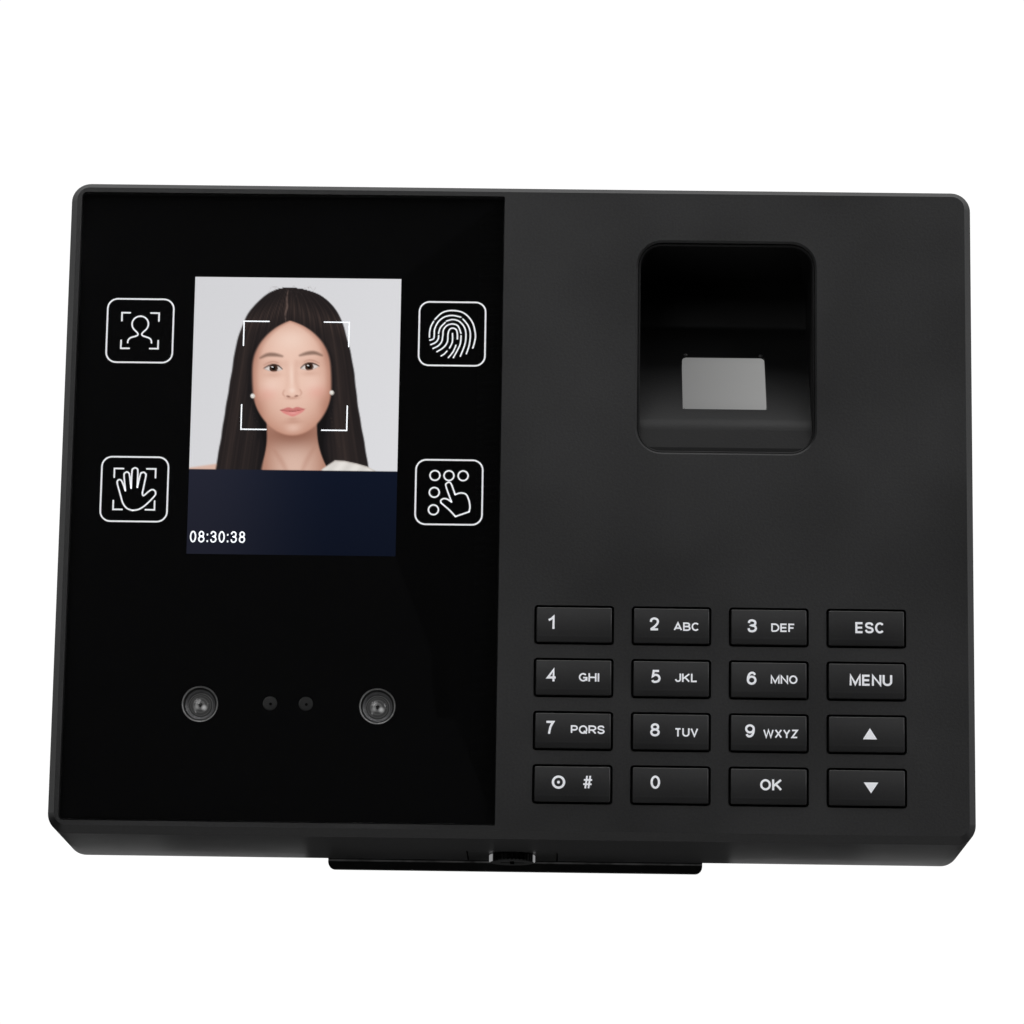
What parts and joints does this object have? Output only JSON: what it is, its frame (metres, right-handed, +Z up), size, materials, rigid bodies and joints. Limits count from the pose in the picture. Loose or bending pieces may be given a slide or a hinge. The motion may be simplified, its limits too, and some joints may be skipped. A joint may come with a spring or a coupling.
{
  "type": "fingerprint scanner terminal",
  "caption": "Wall-mounted attendance terminal with a glass-fronted screen and cameras, a recessed fingerprint sensor bay and a keypad.",
  "frame": {"origin": "point of the wall plane (rear face of the wall bracket) straight behind the middle of the box", "axes": "+Z up, +X to the right as a user sees it, +Y into the wall; the front face looks along -Y"},
  "size_m": [0.188, 0.0406, 0.1391],
  "materials": {
    "shell": "fine spark texture",
    "cover": "fine spark texture",
    "key": "satin",
    "bay": "fine spark texture",
    "glass": "polished",
    "ink": "printed black",
    "tape": "foam",
    "screen": "lit display",
    "tray": "satin",
    "flex": "amber film",
    "pcb": "solder mask",
    "camera": "satin",
    "lens": "coated",
    "lamp": "dark infrared epoxy",
    "prism": "polished",
    "silicone": "matte",
    "chip": "moulded epoxy",
    "heatsink": "anodised",
    "cell": "satin",
    "cone": "pressed paper and steel",
    "socket": "nickel",
    "jack": "moulded",
    "plunger": "satin",
    "bracket": "black powder coat",
    "lock": "nickel plated",
    "brass": "turned",
    "screw": "black zinc",
    "zinc": "zinc plated",
    "legend": "white print"
  },
  "bodies": {
    "terminal": {"backup_battery": "cell", "board_screws": "zinc", "camera_board": "pcb", "camera_flex": "flex", "camera_left": "camera", "camera_right": "camera", "case_screws": "screw", "dc_inlet": "jack", "front_glass": "glass", "front_shell": "shell", "glass_tape": "tape", "heat_spreader": "heatsink", "ink_mask": "ink", "ir_leds": "lamp", "keypad_board": "pcb", "keypad_flex": "flex", "keypad_mat": "silicone", "keypad_screws": "zinc", "lcd_flex": "flex", "lcd_frame": "tray", "lcd_panel": "screen", "lens_left": "lens", "lens_right": "lens", "lock_insert": "brass", "lock_screw": "lock", "main_board": "pcb", "main_chips": "chip", "net_jack": "jack", "rear_cover": "cover", "sensor_bay": "bay", "sensor_board": "pcb", "sensor_flex": "flex", "sensor_housing": "camera", "sensor_prism": "prism", "speaker": "cone", "tamper_switch": "jack", "usb_port": "socket", "wall_bracket": "bracket"},
    "key_1_cap": {"key_1": "key"},
    "key_2_cap": {"key_2": "key"},
    "key_3_cap": {"key_3": "key"},
    "key_esc_cap": {"key_esc": "key"},
    "key_4_cap": {"key_4": "key"},
    "key_5_cap": {"key_5": "key"},
    "key_6_cap": {"key_6": "key"},
    "key_menu_cap": {"key_menu": "key"},
    "key_7_cap": {"key_7": "key"},
    "key_8_cap": {"key_8": "key"},
    "key_9_cap": {"key_9": "key"},
    "key_up_cap": {"key_up": "key"},
    "key_hash_cap": {"key_hash": "key"},
    "key_0_cap": {"key_0": "key"},
    "key_ok_cap": {"key_ok": "key"},
    "key_down_cap": {"key_down": "key"},
    "tamper_pin": {"tamper_plunger": "plunger"}
  },
  "joints": [
    {"name": "press_key_1", "type": "slide", "parent": "terminal", "child": "key_1_cap", "axis": [0, 1, 0], "range_m": [0, 0.0008], "stiffness_N_per_m": 1000},
    {"name": "press_key_2", "type": "slide", "parent": "terminal", "child": "key_2_cap", "axis": [0, 1, 0], "range_m": [0, 0.0008], "stiffness_N_per_m": 1000},
    {"name": "press_key_3", "type": "slide", "parent": "terminal", "child": "key_3_cap", "axis": [0, 1, 0], "range_m": [0, 0.0008], "stiffness_N_per_m": 1000},
    {"name": "press_key_esc", "type": "slide", "parent": "terminal", "child": "key_esc_cap", "axis": [0, 1, 0], "range_m": [0, 0.0008], "stiffness_N_per_m": 1000},
    {"name": "press_key_4", "type": "slide", "parent": "terminal", "child": "key_4_cap", "axis": [0, 1, 0], "range_m": [0, 0.0008], "stiffness_N_per_m": 1000},
    {"name": "press_key_5", "type": "slide", "parent": "terminal", "child": "key_5_cap", "axis": [0, 1, 0], "range_m": [0, 0.0008], "stiffness_N_per_m": 1000},
    {"name": "press_key_6", "type": "slide", "parent": "terminal", "child": "key_6_cap", "axis": [0, 1, 0], "range_m": [0, 0.0008], "stiffness_N_per_m": 1000},
    {"name": "press_key_menu", "type": "slide", "parent": "terminal", "child": "key_menu_cap", "axis": [0, 1, 0], "range_m": [0, 0.0008], "stiffness_N_per_m": 1000},
    {"name": "press_key_7", "type": "slide", "parent": "terminal", "child": "key_7_cap", "axis": [0, 1, 0], "range_m": [0, 0.0008], "stiffness_N_per_m": 1000},
    {"name": "press_key_8", "type": "slide", "parent": "terminal", "child": "key_8_cap", "axis": [0, 1, 0], "range_m": [0, 0.0008], "stiffness_N_per_m": 1000},
    {"name": "press_key_9", "type": "slide", "parent": "terminal", "child": "key_9_cap", "axis": [0, 1, 0], "range_m": [0, 0.0008], "stiffness_N_per_m": 1000},
    {"name": "press_key_up", "type": "slide", "parent": "terminal", "child": "key_up_cap", "axis": [0, 1, 0], "range_m": [0, 0.0008], "stiffness_N_per_m": 1000},
    {"name": "press_key_hash", "type": "slide", "parent": "terminal", "child": "key_hash_cap", "axis": [0, 1, 0], "range_m": [0, 0.0008], "stiffness_N_per_m": 1000},
    {"name": "press_key_0", "type": "slide", "parent": "terminal", "child": "key_0_cap", "axis": [0, 1, 0], "range_m": [0, 0.0008], "stiffness_N_per_m": 1000},
    {"name": "press_key_ok", "type": "slide", "parent": "terminal", "child": "key_ok_cap", "axis": [0, 1, 0], "range_m": [0, 0.0008], "stiffness_N_per_m": 1000},
    {"name": "press_key_down", "type": "slide", "parent": "terminal", "child": "key_down_cap", "axis": [0, 1, 0], "range_m": [0, 0.0008], "stiffness_N_per_m": 1000},
    {"name": "press_tamper", "type": "slide", "parent": "terminal", "child": "tamper_pin", "axis": [0, -1, 0], "range_m": [0, 0.0008], "stiffness_N_per_m": 300}
  ]
}
